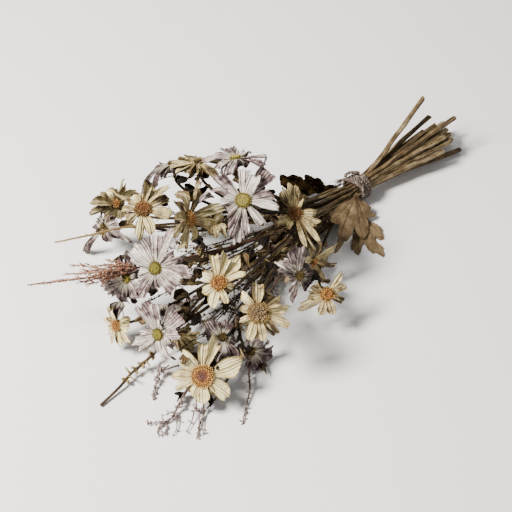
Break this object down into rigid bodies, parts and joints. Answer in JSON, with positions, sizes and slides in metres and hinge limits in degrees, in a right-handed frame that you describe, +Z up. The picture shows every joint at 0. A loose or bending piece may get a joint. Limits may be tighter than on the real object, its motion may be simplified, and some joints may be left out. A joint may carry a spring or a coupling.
{
  "type": "wilted bouquet",
  "caption": "Dried, wilted bouquet of daisy-like flowers with sprays and leaves, tied with twine and lying on its side.",
  "frame": {"origin": "bottom centre of the whole bouquet's box as it lies, on the surface it rests on", "axes": "+Z is up; the stems run along X, with the flowers towards -X and the cut ends towards +X; the pair of brown leaves hangs towards -Y"},
  "size_m": [0.4678, 0.2448, 0.1235],
  "materials": {
    "lilac_flower": "papery dried petals, lilac grey with dark brown-purple veins",
    "cream_flower": "papery dried petals, cream with yellow edges, brown lines and spots",
    "stem": "dry ridged stem skin, olive brown",
    "straw": "pale dry straw",
    "twig": "rough brown twig bark",
    "red_plume": "matt terracotta seed plume",
    "mauve_plume": "matt grey-mauve seed sprays",
    "brown_leaf": "matt dried leaf, tan brown with darker veins",
    "dark_leaf": "matt dried leaf, nearly black",
    "twine": "twisted two-ply jute twine"
  },
  "bodies": {
    "root": {"lilac_1": "lilac_flower", "lilac_2": "lilac_flower", "lilac_3": "lilac_flower", "lilac_4": "lilac_flower", "lilac_5": "lilac_flower", "lilac_6": "lilac_flower", "lilac_7": "lilac_flower", "lilac_8": "lilac_flower", "lilac_9": "lilac_flower", "lilac_10": "lilac_flower", "cream_1": "cream_flower", "cream_2": "cream_flower", "cream_3": "cream_flower", "cream_4": "cream_flower", "cream_5": "cream_flower", "cream_6": "cream_flower", "cream_7": "cream_flower", "cream_8": "cream_flower", "cream_9": "cream_flower", "cream_10": "cream_flower", "cream_11": "cream_flower", "cream_12": "cream_flower", "stem_lilac_1": "stem", "stem_lilac_2": "stem", "stem_lilac_3": "stem", "stem_lilac_4": "stem", "stem_lilac_5": "stem", "stem_lilac_6": "stem", "stem_lilac_7": "stem", "stem_lilac_8": "stem", "stem_lilac_9": "stem", "stem_lilac_10": "stem", "stem_cream_1": "stem", "stem_cream_2": "stem", "stem_cream_3": "stem", "stem_cream_4": "stem", "stem_cream_5": "stem", "stem_cream_6": "stem", "stem_cream_7": "stem", "stem_cream_8": "stem", "stem_cream_9": "stem", "stem_cream_10": "stem", "stem_cream_11": "stem", "stem_cream_12": "stem", "red_spray": "red_plume", "straw_twig": "straw", "budded_twig": "twig", "mauve_spray_1": "mauve_plume", "mauve_spray_2": "mauve_plume", "mauve_spray_3": "mauve_plume", "mauve_spray_4": "mauve_plume", "brown_leaf_1": "brown_leaf", "brown_leaf_2": "brown_leaf", "dark_leaf": "dark_leaf", "curled_leaf": "dark_leaf", "twine_wrap": "twine", "twine_tail": "twine", "twine_loop": "twine"}
  },
  "joints": []
}
